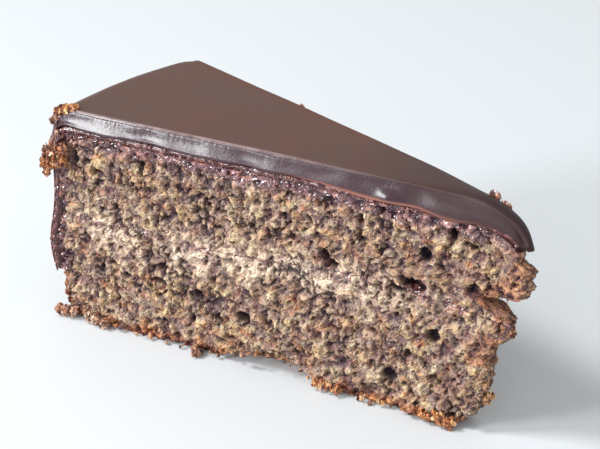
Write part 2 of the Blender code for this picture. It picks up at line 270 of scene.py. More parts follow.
def evenOut(points, quads, share, rounds, pull=0.6):
    # draws every point towards its neighbours by its share
    ends = np.concatenate([quads, np.roll(quads, -1, axis=1)], axis=0).ravel()
    others = np.concatenate([np.roll(quads, -1, axis=1), quads], axis=0).ravel()
    count = np.bincount(ends, minlength=len(points))
    for turn in range(rounds):
        sums = [np.bincount(ends, points[others, axis], len(points)) for axis in range(3)]
        mean = np.stack(sums, axis=1) / count[:, None]
        points = points + pull * share[:, None] * (mean - points)
    return points


def storeValues(made, values):
    for name, numbers in values.items():
        layer = made.data.attributes.new(name, "FLOAT", "POINT")
        layer.data.foreach_set("value", np.asarray(numbers, dtype=np.float32))


def vertexVectors(made, name):
    # places or normals of all vertices as rows of three
    values = np.empty(len(made.data.vertices) * 3, dtype=np.float32)
    made.data.vertices.foreach_get(name, values)
    return values.reshape(-1, 3)


def vertexNumbers(made, name):
    values = np.empty(len(made.data.vertices), dtype=np.float32)
    made.data.attributes[name].data.foreach_get("value", values)
    return values


# Small tools for material and geometry trees
def newMaterial(name):
    made = bpy.data.materials.new(name)
    made.use_nodes = True
    tree = made.node_tree
    return made, tree, tree.nodes["Principled BSDF"]


def fill(tree, node, values):
    # a socket is linked to the input, anything else is set as its value
    for name, value in values.items():
        if isinstance(value, bpy.types.NodeSocket):
            tree.links.new(value, node.inputs[name])
        else:
            node.inputs[name].default_value = value


def newNode(tree, kind, values, **settings):
    node = tree.nodes.new(kind)
    for name, value in settings.items():
        setattr(node, name, value)
    fill(tree, node, values)
    return node


def attributeNode(tree, name):
    return newNode(tree, "ShaderNodeAttribute", {}, attribute_name=name).outputs["Fac"]


def noiseNode(tree, scale, detail=3.0, stretch=(1, 1, 1), roughness=0.5):
    place = newNode(tree, "ShaderNodeTexCoord", {}).outputs["Object"]
    mapping = newNode(tree, "ShaderNodeMapping", {"Vector": place, "Scale": stretch})
    values = {"Vector": mapping.outputs["Vector"], "Scale": scale, "Detail": detail, "Roughness": roughness}
    return newNode(tree, "ShaderNodeTexNoise", values).outputs["Fac"]


def rampNode(tree, source, stops):
    ramp = newNode(tree, "ShaderNodeValToRGB", {"Fac": source})
    marks = ramp.color_ramp.elements
    while len(marks) < len(stops):
        marks.new(0.5)
    for mark, (place, colour) in zip(marks, stops):
        mark.position = place
        mark.color = shade(*colour)
    return ramp.outputs["Color"]


def mixColours(tree, share, first, second, mode="MIX"):
    values = {0: share, 6: first, 7: second}
    return newNode(tree, "ShaderNodeMix", values, data_type="RGBA", blend_type=mode).outputs[2]


def mapValue(tree, source, fromLow, fromHigh, toLow, toHigh):
    limits = {"From Min": fromLow, "From Max": fromHigh, "To Min": toLow, "To Max": toHigh}
    return newNode(tree, "ShaderNodeMapRange", {"Value": source, **limits}).outputs["Result"]


def calculate(tree, operation, first, second):
    return newNode(tree, "ShaderNodeMath", {0: first, 1: second}, operation=operation).outputs["Value"]


def addBump(tree, shader, height, strength, distance):
    bump = newNode(tree, "ShaderNodeBump", {"Height": height, "Strength": strength, "Distance": distance})
    tree.links.new(bump.outputs["Normal"], shader.inputs["Normal"])


# Crumb: every grain takes one tone, which the ramps turn into a dry, a baked, a pale or a jam-soaked colour,
# whose lightest stops are painted glints
crumbLook = {
    "dry": ((0.00, (62, 40, 48)), (0.22, (103, 80, 79)), (0.50, (151, 128, 109)), (0.78, (174, 152, 124)),
            (1.00, (200, 184, 150))),
    "baked": ((0.00, (56, 26, 22)), (0.30, (110, 58, 40)), (0.60, (155, 95, 60)), (0.85, (188, 124, 76)),
              (1.00, (206, 162, 110))),
    "pale": ((0.00, (104, 74, 76)), (0.22, (160, 132, 120)), (0.50, (214, 190, 166)), (0.78, (222, 200, 178)),
             (1.00, (238, 222, 206))),
    # the top two stops of the soaked ramp are painted glints, whitish lilac on the wet crumb
    "soakedAndGlints": ((0.00, (44, 22, 32)), (0.35, (90, 56, 62)), (0.62, (128, 90, 90)), (0.80, (160, 104, 84)),
               (0.90, (150, 120, 128)), (1.00, (226, 202, 202))),
    # painted shade colour for hollows, pores, pits and holes in the crumb
    "shadowed": shade(38, 22, 32),
    # colour spots over the dry crumb: size, where they start and are full, how strong, tint
    "tints": (
        (180.0, 0.48, 0.60, 0.85, (0.79, 0.73, 0.85, 1.0)),
        (260.0, 0.47, 0.56, 0.9, (1.06, 0.96, 0.79, 1.0)),
        (290.0, 0.51, 0.61, 0.65, (1.03, 0.84, 0.86, 1.0)),
        (360.0, 0.59, 0.66, 0.7, (1.10, 0.73, 0.46, 1.0)),
    ),
    "fineScale": 2600.0,
    "fineTone": 0.08,
    "fineLight": (0.84, 1.16),
    "poreScale": 560.0,
    "poreFrom": (0.58, 0.68),
    "poreDark": 0.7,
    "roughDry": 0.72,
    "roughSoaked": 0.14,
    "coat": 0.9,
    "coatRough": 0.14,
    "specular": 0.35,
    "bump": (0.45, 0.0002),
}


def crumbMaterial():
    look = crumbLook
    made, tree, shader = newMaterial("crumb")
    fine = noiseNode(tree, look["fineScale"], 2.0)
    nudge = mapValue(tree, fine, 0.3, 0.7, -look["fineTone"], look["fineTone"])
    shifted = calculate(tree, "ADD", attributeNode(tree, "tone"), nudge)
    base = rampNode(tree, shifted, look["dry"])
    for scale, low, high, strength, tint in look["tints"]:
        spots = noiseNode(tree, scale, 2.0, stretch=(1.0, 1.0, 1.2))
        tinted = mixColours(tree, 1.0, base, tint, "MULTIPLY")
        base = mixColours(tree, mapValue(tree, spots, low, high, 0.0, strength), base, tinted)
    for name, ramp in (("crust", "baked"), ("pale", "pale"), ("wet", "soakedAndGlints")):
        base = mixColours(tree, attributeNode(tree, name), base, rampNode(tree, shifted, look[ramp]))
    # painted shade: noise spots stand for dark pores, and with the pit value they turn the crumb to the
    # shadowed colour
    poreShade = noiseNode(tree, look["poreScale"], 3.0, roughness=0.6)
    poreShade = mapValue(tree, poreShade, *look["poreFrom"], 0.0, look["poreDark"])
    hollowShade = calculate(tree, "MAXIMUM", attributeNode(tree, "pit"), poreShade)
    base = mixColours(tree, hollowShade, base, look["shadowed"])
    base = mixColours(tree, 1.0, base, mapValue(tree, fine, 0.3, 0.7, *look["fineLight"]), "MULTIPLY")
    wettest = calculate(tree, "MAXIMUM", attributeNode(tree, "wet"), attributeNode(tree, "gloss"))
    fill(tree, shader, {
        "Base Color": base,
        "Roughness": mapValue(tree, wettest, 0.0, 1.0, look["roughDry"], look["roughSoaked"]),
        "Coat Weight": mapValue(tree, wettest, 0.2, 1.0, 0.0, look["coat"]),
        "Coat Roughness": look["coatRough"],
        "Specular IOR Level": look["specular"],
    })
    addBump(tree, shader, fine, *look["bump"])
    return made


# The two crumb layers: chunks, grains, open pits and the torn edges of the cuts
spongeLook = {
    "alongSteps": 360,
    "acrossSteps": 30,
    "lowerUpSteps": 88,
    "upperUpSteps": 72,
    "warp": 0.0008,
    "warpSize": 0.0014,
    "chunkSize": 0.0030,
    "chunkDepth": 0.0003,
    "chunkStagger": 0.0004,
    "lumpSize": 0.0014,
    "lumpDepth": 0.0003,
    "lumpStagger": 0.0004,
    "fleckSize": 0.0008,
    "fleckDepth": 0.0006,
    "roughness": 0.0007,
    "roughSizes": (0.0018, 0.0009),
    "creviceDepth": 0.0008,
    "creviceWidth": 0.20,
    "tornSize": 0.0050,
    "waveDepth": 0.0007,
    "waveSize": 0.012,
    "evenOut": 0.0003,
    "poreSize": 0.0017,
    "poreShare": 0.40,
    "poreRim": (0.14, 0.40),
    "poreDepth": 0.0011,
    "pitSizes": (0.0032, 0.0016),
    "pitFrom": (0.62, 0.95),
    "pitDepth": 0.0022,
    # the lowest share of the crumb takes painted shade
    "hollowShadeShares": (3, 26),
    # the highest crumb is coloured lighter, a painted highlight; toneShares splits tone between lump, fleck
    # and this height
    "raisedLightShares": (40, 92),
    "toneShares": (0.45, 0.25, 0.30),
    # big holes, in tenths of a millimetre: radius, height, half length, half height, depth
    "frontHoles": (
        (275, 345, 30, 15, 36),
        (310, 330, 28, 10, 22),
        (250, 432, 16, 20, 28),
        (185, 500, 10, 16, 22),
        (485, 350, 16, 11, 22),
        (225, 225, 16, 18, 30),
        (330, 90, 20, 16, 28),
        (975, 180, 20, 8, 22),
        (855, 170, 14, 12, 20),
        (735, 140, 17, 9, 22),
        (800, 120, 11, 9, 18),
        (875, 95, 9, 15, 18),
        (765, 70, 14, 8, 18),
        (1145, 175, 12, 9, 22),
        (1070, 170, 14, 9, 20),
        (1170, 470, 13, 8, 14),
        (1140, 420, 10, 6, 12),
        (135, 370, 12, 10, 22),
    ),
    "backHoles": (
        (440, 400, 22, 22, 24),
        (980, 120, 26, 16, 26),
        (700, 440, 18, 20, 22),
        (620, 130, 30, 14, 26),
    ),
    "chunkLostAt": 0.0640,
    "chunkLostLength": 0.0110,
    "chunkLostHeight": 0.0048,
    "chunkLostDepth": 0.0045,
    "sideShift": 0.05,
    "tipFade": 0.45,
    "underGlaze": (0.0016, 0.0004),
    "underGlazeRelief": (-0.0006, 0.0003),
    "notchDeeper": 0.0030,
    "notchWidth": 0.0022,
    "lowerTipBack": 0.0025,
    "lowerTipBelow": (0.0335, 0.0300),
    "underNose": 0.0030,
    "underNoseFrom": (0.0454, 0.0470),
    "tipGrains": (0.0026, 0.0011),
    "tipDepths": (0.0018, 0.0011),
    "tipReach": 0.0070,
    "crustSizes": (0.0052, 0.0024),
    "crustDepth": 0.0004,
    "rimTone": (0.36, 0.40),
    "tipTone": (0.15, 0.75),
    "fuzz": (0.0010, 0.0006),
    "soakTop": (0.0010, 0.0048),
    "soakRim": (0.0012, 0.0036),
    "soakJam": (0.0002, 0.0018),
    "jamSoaked": 0.85,
    # baked crust along the bottom, darker also as painted shade near the floor
    "crustAndShadeUpTo": (0.0006, 0.0046),
    "tipBaked": 0.6,
    "paleBelow": 0.0020,
    "paleReach": 0.0056,
    "paleLeast": 0.60,
    "paleAt": (0.062, 0.022),
}


def holeDepth(radius, height, holes):
    deepest = np.zeros(len(radius))
    for at, level, halfLength, halfHeight, depth in np.array(holes) / tenthsPerMetre:
        away = np.hypot((radius - at) / halfLength, (height - level) / halfHeight)
        deepest = np.maximum(deepest, depth * (1 - ease(0.5, 1.25, away)))
    return deepest


def chunkLost(radius):
    look = spongeLook
    return look["chunkLostHeight"] * bell(radius, look["chunkLostAt"], look["chunkLostLength"])


def cutRelief(radius, height, side):
    # how far the torn crumb stands out of the cut, each grain's tone, and how much painted shade it takes in
    # hollows, pores, pits and holes
    look = spongeLook
    places = rows(radius, height, look["sideShift"] * np.sign(side))
    push = rows(cloud(places, look["warpSize"], 5), cloud(places, look["warpSize"], 6), 0.0)
    bent = places + look["warp"] * push
    chunk = grains(bent * (1.0, 1.2, 1.0), look["chunkSize"], 11)
    lump = grains(bent, look["lumpSize"], 21)
    fleck = grains(bent, look["fleckSize"], 27)
    relief = look["chunkDepth"] * (0.5 - np.minimum(chunk[0], 1.0)) + look["chunkStagger"] * (chunk[2] - 0.5)
    relief += look["lumpDepth"] * (0.5 - np.minimum(lump[0], 1.0)) + look["lumpStagger"] * (lump[2] - 0.5)
    relief += look["fleckDepth"] * (0.5 - np.minimum(fleck[0], 1.0))
    coarse, fine = look["roughSizes"]
    relief += look["roughness"] * (cloud(places, coarse, 33) + 0.7 * cloud(places, fine, 34))
    torn = ease(-0.1, 0.5, cloud(places, look["tornSize"], 32))
    relief -= look["creviceDepth"] * (1 - ease(0.0, look["creviceWidth"], chunk[1])) * torn
    # painted shade: the lowest crumb, pores, pits and the big holes are coloured darker
    low, high = np.percentile(relief, look["hollowShadeShares"])
    pitShade = 0.85 * (1 - ease(low, high, relief))
    # painted highlight: part of each grain's tone comes from how high the crumb stands, so raised crumb is
    # coloured lighter
    low, high = np.percentile(relief, look["raisedLightShares"])
    byLump, byFleck, byRaisedLight = look["toneShares"]
    tone = byLump * lump[2] + byFleck * fleck[2] + byRaisedLight * ease(low, high, relief)
    relief += look["waveDepth"] * cloud(places, look["waveSize"], 31) - look["evenOut"]
    pore = grains(places + 0.5 * (bent - places), look["poreSize"], 61)
    pore = (1 - ease(*look["poreRim"], pore[0])) * (pore[2] < look["poreShare"])
    relief -= look["poreDepth"] * pore
    pitShade = np.maximum(pitShade, 0.8 * pore)
    coarse, fine = look["pitSizes"]
    pit = ease(*look["pitFrom"], cloud(places, coarse, 41) + 0.5 * cloud(places, fine, 42))
    holes = holeDepth(radius, height, look["frontHoles"]) * (side < 0)
    holes += holeDepth(radius, height, look["backHoles"]) * (side > 0)
    relief -= look["pitDepth"] * pit + holes
    reach = chunkLost(radius)
    lost = 1 - ease(reach - 0.0011, reach + 0.0011, height + 0.0006 * cloud(places, 0.003, 51))
    relief -= look["chunkLostDepth"] * lost * (side < 0) * (reach > 0.0004)
    pitShade = np.maximum(pitShade, np.maximum(pit * 0.9, ease(0.0003, 0.0013, holes)))
    return relief, tone, pitShade


# The jam that shows between the layers: next to nothing, and more at these radii (radius, spread, share)
gapeLook = {
    "least": 0.00005,
    "most": 0.0010,
    "everywhere": 0.05,
    "places": ((0.062, 0.018, 0.35), (0.029, 0.006, 1.0), (0.010, 0.006, 0.6)),
    "brokenSize": 0.0040,
}


def jamGape(radius):
    look = gapeLook
    gape = look["everywhere"]
    for at, spread, share in look["places"]:
        gape = gape + share * bell(radius, at, spread)
    broken = 0.75 + 0.6 * cloud(rows(radius, 0.0, 0.0), look["brokenSize"], 95)
    return look["least"] + look["most"] * np.clip(gape * broken, 0, 1)


def lowerTop(radius):
    return jamHeight(radius) + (cake["filling"] - jamGape(radius)) / 2


def upperFloor(radius):
    return jamHeight(radius) + (cake["filling"] + jamGape(radius)) / 2


def tipFace(level, side):
    # where the torn tip starts at a height, with the bites that go deeper than the solids
    look = spongeLook
    tip = tipRadius(level) - cake["tipRounding"] * np.sqrt(np.clip(1 - side * side, 0, 1))
    tip += look["underNose"] * ease(*look["underNoseFrom"], level)
    tip += look["lowerTipBack"] * ease(*look["lowerTipBelow"], level)
    tip += look["notchDeeper"] * bell(level, jamHeight(0.0) + cake["notchAboveJam"], look["notchWidth"])
    return tip


def spongeLayer(name, upSteps, floor, ceiling):
    look = spongeLook
    places, quads = boxShell(look["alongSteps"], look["acrossSteps"], upSteps)
    share = places[:, 0] / look["alongSteps"]
    side = 2 * places[:, 1] / look["acrossSteps"] - 1
    lift = places[:, 2] / upSteps
    atRim = places[:, 0] == look["alongSteps"]
    atTip = places[:, 0] == 0
    tip = tipFace(lerp(floor(0 * share), ceiling(0 * share), lift), side)
    end = cake["length"] + 0 * share
    rim = wallRadius(lerp(floor(end), ceiling(end), lift))
    radius = lerp(tip, rim, share)
    height = lerp(floor(radius), ceiling(radius), lift)
    facing = np.where(side < 0, -1.0, 1.0)
    relief, tone, pitShade = cutRelief(radius, height, facing)
    top = crumbTop(radius)
    relief = relief * lerp(look["tipFade"], 1.0, ease(0.0, cake["fall"], radius))
    # crumb next to the glaze, the floor and the rim stays inside the slice's outline
    deepest, least = look["underGlaze"]
    covered = ease(top - deepest, top - least, height)
    relief = lerp(relief, np.clip(relief, *look["underGlazeRelief"]), covered)
    spots = rows(radius, height, look["sideShift"] * facing)
    ragged = 0.0006 + 0.0008 * (cloud(spots, 0.0022, 61) + 1)
    relief -= 0.0009 * (1 - ease(0.0, ragged, height)) * (side < 0)
    relief = np.where(atRim, np.minimum(relief, 0.0), relief)
    x, y = planPoint(radius, side, relief)
    # the torn tip, uneven along its own face
    tipPlaces = rows(0.2 + side * halfWidth(radius), height, 0.0)
    coarse, fine = look["tipGrains"]
    torn = grains(tipPlaces, coarse, 71)
    tornFine = grains(tipPlaces, fine, 73)
    nearTip = 1 - ease(0.0, look["tipReach"], radius - tip)
    nearTip = nearTip * (1 - ease(top - 0.0050, top - 0.0010, height))
    coarse, fine = look["tipDepths"]
    x += (coarse * (0.5 - torn[0]) + fine * (0.5 - tornFine[0])) * nearTip
    # bare crust at the foot of the rim
    wallPlaces = rows(cake["length"] * halfAngle * side, height, 0.0)
    coarse, fine = look["crustSizes"]
    crustRelief = cloud(wallPlaces, coarse, 81) + 0.5 * cloud(wallPlaces, fine, 82)
    hem = hemHeight(side)
    onWall = ease(0.0020, 0.0, rim - radius) * (1 - ease(-0.0004, 0.0006, height - hem))
    x += look["crustDepth"] * (crustRelief + 0.6) * onWall
    z = np.clip(height, 0.0, None)
    made = makeMesh(name, rows(x, y, z), quads)
    # the faces at the rim and the tip have tones of their own
    least, spread = look["rimTone"]
    tone = np.where(atRim, least + spread * cloud(rows(y, z, 0.3), 0.0034, 83), tone)
    least, spread = look["tipTone"]
    tone = np.where(atTip, least + spread * tornFine[2], tone)
    # painted shade at the rim fades towards the middle; at the tip it falls in the cracks between torn grains
    pitShade = np.where(atRim, 0.5 * pitShade * (side * side), pitShade)
    pitShade = np.where(atTip, 0.8 * (1 - ease(0.02, 0.20, tornFine[1])), pitShade)
    # jam soaks in from the glaze, the rim and the filling; the foot and the tip are baked darker, and the
    # crust colour near the floor is also painted shade
    blotch = cloud(spots, 0.0045, 91)
    coarse, fine = look["fuzz"]
    fuzz = coarse * cloud(spots, 0.0028, 92) + fine * cloud(spots, 0.0012, 93)
    wet = 1 - ease(*look["soakTop"], top - height + fuzz)
    rimWet = 1 - ease(*look["soakRim"], wallRadius(height) - radius + fuzz)
    wet = np.maximum(wet, rimWet * ease(-0.0006, 0.0012, height - hem))
    wet *= lerp(0.35, 1.0, ease(0.003, 0.014, radius))
    jamWet = 1 - ease(*look["soakJam"], np.abs(height - jamHeight(radius)) + 0.6 * fuzz)
    jamWet *= ease(-0.8, -0.2, blotch) * ease(-0.25, 0.25, cloud(spots, 0.0019, 96))
    gloss = np.maximum(jamWet, 0.8 * bell(height, jamHeight(radius), 0.0030) * ease(0.0, 0.4, blotch))
    crust = np.maximum(1 - ease(*look["crustAndShadeUpTo"], height + 1.8 * fuzz), onWall)
    tipCrust = look["tipBaked"] * (1 - ease(0.0, 0.0050, radius - tip + 5 * fuzz))
    crust = np.maximum(crust, tipCrust * (height > 0.018))
    nearJam = bell(height, jamHeight(radius) - look["paleBelow"], look["paleReach"])
    nearJam = nearJam * ease(0.010, 0.045, radius)
    pale = lerp(look["paleLeast"], 1.0, bell(radius, *look["paleAt"])) * nearJam
    pale = pale * ease(-0.8, 0.3, cloud(spots, 0.005, 94))
    # pit holds the share of painted shade
    storeValues(made, {
        "tone": tone, "wet": np.maximum(wet, look["jamSoaked"] * jamWet), "crust": crust,
        "pale": pale * (1 - wet), "pit": pitShade, "gloss": gloss,
    })
    return made


# Loose grains that cling to the crumb, scattered by a node tree over the faces of a piece
grainShapes = {
    "grain": {"count": 6, "seed": 4, "rings": 4, "segments": 6},
    "fleck": {"count": 6, "seed": 9, "rings": 3, "segments": 5},
    "squash": ((0.8, 1.3), (0.6, 0.9), (0.6, 1.0)),
    "jitter": (0.45, 1.40),
    "tone": (0.15, 0.90),
}


def lumpVariants(name):
    look = grainShapes[name]
    draw = random.Random(look["seed"])
    group = bpy.data.collections.new(name)
    bpy.context.scene.collection.children.link(group)
    for number in range(look["count"]):
        body = bmesh.new()
        bmesh.ops.create_uvsphere(body, u_segments=look["segments"], v_segments=look["rings"], radius=1.0)
        squash = Vector([draw.uniform(*limits) for limits in grainShapes["squash"]])
        for vertex in body.verts:
            vertex.co = vertex.co * squash * draw.uniform(*grainShapes["jitter"])
        mesh = bpy.data.meshes.new(name)
        body.to_mesh(mesh)
        body.free()
        group.objects.link(bpy.data.objects.new(name + str(number), mesh))
    return group


scatterInputs = {
    "Geometry": ("NodeSocketGeometry", None),
    "Grains": ("NodeSocketCollection", None),
    "Material": ("NodeSocketMaterial", None),
    "Per Square Metre": ("NodeSocketFloat", 100000.0),
    "Spacing": ("NodeSocketFloat", 0.0005),
    "Smallest": ("NodeSocketFloat", 0.0004),
    "Largest": ("NodeSocketFloat", 0.0008),
    "Seed": ("NodeSocketInt", 1),
}


def scatterTree(onVertices):
    # grains on the faces of a piece, or one grain on each vertex with the size stored there
    tree = bpy.data.node_groups.new("scatterGrains", "GeometryNodeTree")
    for name, (kind, default) in scatterInputs.items():
        socket = tree.interface.new_socket(name, in_out="INPUT", socket_type=kind)
        if default is not None:
            socket.default_value = default
    tree.interface.new_socket("Geometry", in_out="OUTPUT", socket_type="NodeSocketGeometry")
    given = newNode(tree, "NodeGroupInput", {}).outputs
    wanted = {"Name": "size" if onVertices else "spread"}
    stored = newNode(tree, "GeometryNodeInputNamedAttribute", wanted, data_type="FLOAT").outputs["Attribute"]
    seed = newNode(tree, "ShaderNodeMath", {0: given["Seed"], 1: 17.0}, operation="ADD").outputs[0]
    points, size = given["Geometry"], stored
    if not onVertices:
        spread = newNode(tree, "GeometryNodeDistributePointsOnFaces", {
            "Mesh": given["Geometry"], "Distance Min": given["Spacing"], "Density Factor": stored,
            "Density Max": given["Per Square Metre"], "Seed": given["Seed"],
        }, distribute_method="POISSON")
        low, high = grainShapes["tone"]
        tone = newNode(tree, "FunctionNodeRandomValue", {
            2: low, 3: high, "Seed": given["Seed"],
        }, data_type="FLOAT")
        points = newNode(tree, "GeometryNodeStoreNamedAttribute", {
            "Geometry": spread.outputs["Points"], "Name": "tone", "Value": tone.outputs[1],
        }, data_type="FLOAT", domain="POINT").outputs["Geometry"]
        size = newNode(tree, "FunctionNodeRandomValue", {
            2: given["Smallest"], 3: given["Largest"], "Seed": seed,
        }, data_type="FLOAT").outputs[1]
    turn = newNode(tree, "FunctionNodeRandomValue", {
        1: (math.tau,) * 3, "Seed": seed,
    }, data_type="FLOAT_VECTOR")
    pick = newNode(tree, "GeometryNodeCollectionInfo", {
        "Collection": given["Grains"], "Separate Children": True, "Reset Children": True,
    })
    place = newNode(tree, "GeometryNodeInstanceOnPoints", {
        "Points": points, "Instance": pick.outputs["Instances"], "Pick Instance": True,
        "Rotation": turn.outputs[0], "Scale": size,
    })
    real = newNode(tree, "GeometryNodeRealizeInstances", {"Geometry": place.outputs["Instances"]})
    paint = newNode(tree, "GeometryNodeSetMaterial", {
        "Geometry": real.outputs["Geometry"], "Material": given["Material"],
    })
    newNode(tree, "NodeGroupOutput", {"Geometry": paint.outputs["Geometry"]})
    return tree


# Crumbs that hang on at the corners, the foot and the edges: side, then the start and the end of each
# strand as radius, height and distance out of the cut, the lumps, their size, baked, soaked
clumpLook = {
    "strands": (
        (-1, (1236, 494, 12), (1274, 490, 18), 3, 21, 0.9, 0.4),
        (-1, (1234, 462, 12), (1281, 456, 19), 4, 22, 1.0, 0.1),
        (-1, (1280, 440, 18), (1284, 425, 16), 2, 11, 1.0, 0.2),
        (1, (1232, 440, 14), (1215, 480, 14), 3, 19, 0.7, 0.3),
        (-1, (1245, 20, 3), (1290, 16, 6), 4, 16, 0.6, 0.3),
        (-1, (1195, 18, 3), (1140, 16, 12), 4, 16, 0.4, 0.4),
        (-1, (866, 16, 2), (856, 12, 22), 3, 11, 0.7, 0.3),
        (-1, (520, 18, 4), (460, 16, 10), 4, 14, 0.8, 0.0),
        (-1, (260, 20, 4), (165, 17, 10), 5, 17, 0.9, 0.0),
        (1, (1180, 18, 3), (1110, 16, 8), 4, 16, 0.6, 0.0),
        (1, (540, 18, 3), (480, 16, 6), 4, 15, 0.6, 0.0),
        (0, (62, 280, 0), (48, 286, 0), 2, 18, 0.7, 0.0),
        (0, (100, 125, 0), (90, 90, 0), 2, 17, 0.5, 0.0),
        (-1, (1258, 582, -18), (1214, 596, -24), 4, 14, 1.0, 0.0),
        (-1, (1270, 560, -4), (1262, 572, -10), 2, 11, 0.7, 0.5),
        (-1, (1250, 530, -2), (1262, 505, 4), 3, 14, 0.3, 0.9),
        (1, (790, 590, 2), (784, 592, 4), 2, 5, 1.0, 0.0),
        (1, (137, 586, 0), (119, 582, 0), 3, 7, 0.8, 0.6),
        (1, (100, 576, 0), (88, 570, 0), 3, 6, 0.8, 0.6),
    ),
    "grainsInLump": 40,
    "fullLump": 0.0018,
    "reach": 0.78,
    "sizes": (0.00035, 0.00095),
    "fringe": {"from": 0.016, "to": 0.127, "step": 0.0011, "gaps": 0.35, "out": 0.0008, "up": 0.0012},
    "seed": 8,
}


def clumpPoints():
    look = clumpLook
    draw = np.random.default_rng(look["seed"])
    crumbs = []
    for side, start, end, lumps, size, bakedShare, soakedShare in look["strands"]:
        size /= tenthsPerMetre
        ends = np.array((start, end)) / tenthsPerMetre
        for lump in range(lumps):
            radius, height, out = lerp(*ends, lump / (lumps - 1))
            x, y = planPoint(radius, float(side), out)
            for grain in range(int(look["grainsInLump"] * min(1.0, (size / look["fullLump"]) ** 2)) + 2):
                away = draw.normal(size=3)
                away *= look["reach"] * size * draw.random() ** 0.4 / np.linalg.norm(away)
                grainSize = min(draw.uniform(*look["sizes"]), size)
                spot = np.array([x, y, height]) + away
                spot[2] = max(spot[2], 0.8 * grainSize)
                tone = draw.random() ** 0.7
                baked = min(1.0, bakedShare * draw.uniform(0.6, 1.4))
                soakedAndGlints = min(1.0, soakedShare * draw.uniform(0.3, 1.7))
                crumbs.append((*spot, grainSize, tone, baked, soakedAndGlints))
    # baked bits all along the two lower edges
    fringe = look["fringe"]
    for side in (-1, 1):
        for radius in np.arange(fringe["from"], fringe["to"], fringe["step"]):
            if draw.random() < fringe["gaps"]:
                continue
            radius += draw.uniform(-1, 1) * fringe["step"]
            grainSize = draw.uniform(*look["sizes"])
            height = grainSize * 0.8 + draw.random() * fringe["up"] + chunkLost(radius) * (side < 0)
            x, y = planPoint(radius, float(side), draw.random() * fringe["out"])
            crumbs.append((x, y, height, grainSize, draw.random(), draw.random(), 0.0))
    crumbs = np.array(crumbs)
    made = makeMesh("looseCrumbs", crumbs[:, :3], np.zeros((0, 4), int))
    nothing = np.zeros(len(crumbs))
    storeValues(made, {
        "tone": crumbs[:, 4], "crust": crumbs[:, 5], "wet": crumbs[:, 6], "pale": nothing, "pit": nothing,
        "gloss": nothing, "size": crumbs[:, 3],
    })
    return made


# How the clinging grains lie: how many, how close, how big
def lying(perSquareMetre, spacing, smallest, largest, seed):
    return {
        "Per Square Metre": perSquareMetre, "Spacing": spacing, "Smallest": smallest, "Largest": largest,
        "Seed": seed,
    }


grainKinds = {
    "Coarse": lying(170000.0, 0.0010, 0.00022, 0.00046, 3),
    "Fine": lying(900000.0, 0.00050, 0.00018, 0.00040, 9),
}
jamGrains = lying(3000000.0, 0.00045, 0.00025, 0.00060, 6)


def scatter(name, ground, spreadValues, tree, settings, grainsGroup, material):
    # spreads grains over a copy of the ground piece, denser where spreadValues is higher
    carrier = ground.copy()
    carrier.data = ground.data.copy()
    carrier.name = name
    bpy.context.scene.collection.objects.link(carrier)
    if spreadValues is not None:
        storeValues(carrier, {"spread": spreadValues})
    modifier = carrier.modifiers.new("grains", "NODES")
    modifier.node_group = tree
    wanted = {**settings, "Grains": grainsGroup, "Material": material}
    for item in tree.interface.items_tree:
        if item.item_type == "SOCKET" and item.in_out == "INPUT" and item.name in wanted:
            modifier[item.identifier] = wanted[item.name]
    seen = carrier.evaluated_get(bpy.context.evaluated_depsgraph_get())
    mesh = bpy.data.meshes.new_from_object(seen)
    mesh.name = name
    carrier.modifiers.remove(modifier)
    old = carrier.data
    carrier.data = mesh
    bpy.data.meshes.remove(old)
    # no grain reaches past the slice's own box
    places = np.clip(vertexVectors(carrier, "co"), np.array(cadLow), np.array(cadHigh))
    mesh.vertices.foreach_set("co", places.ravel())
    print(name, "grains:", len(mesh.polygons), "faces")
    return carrier


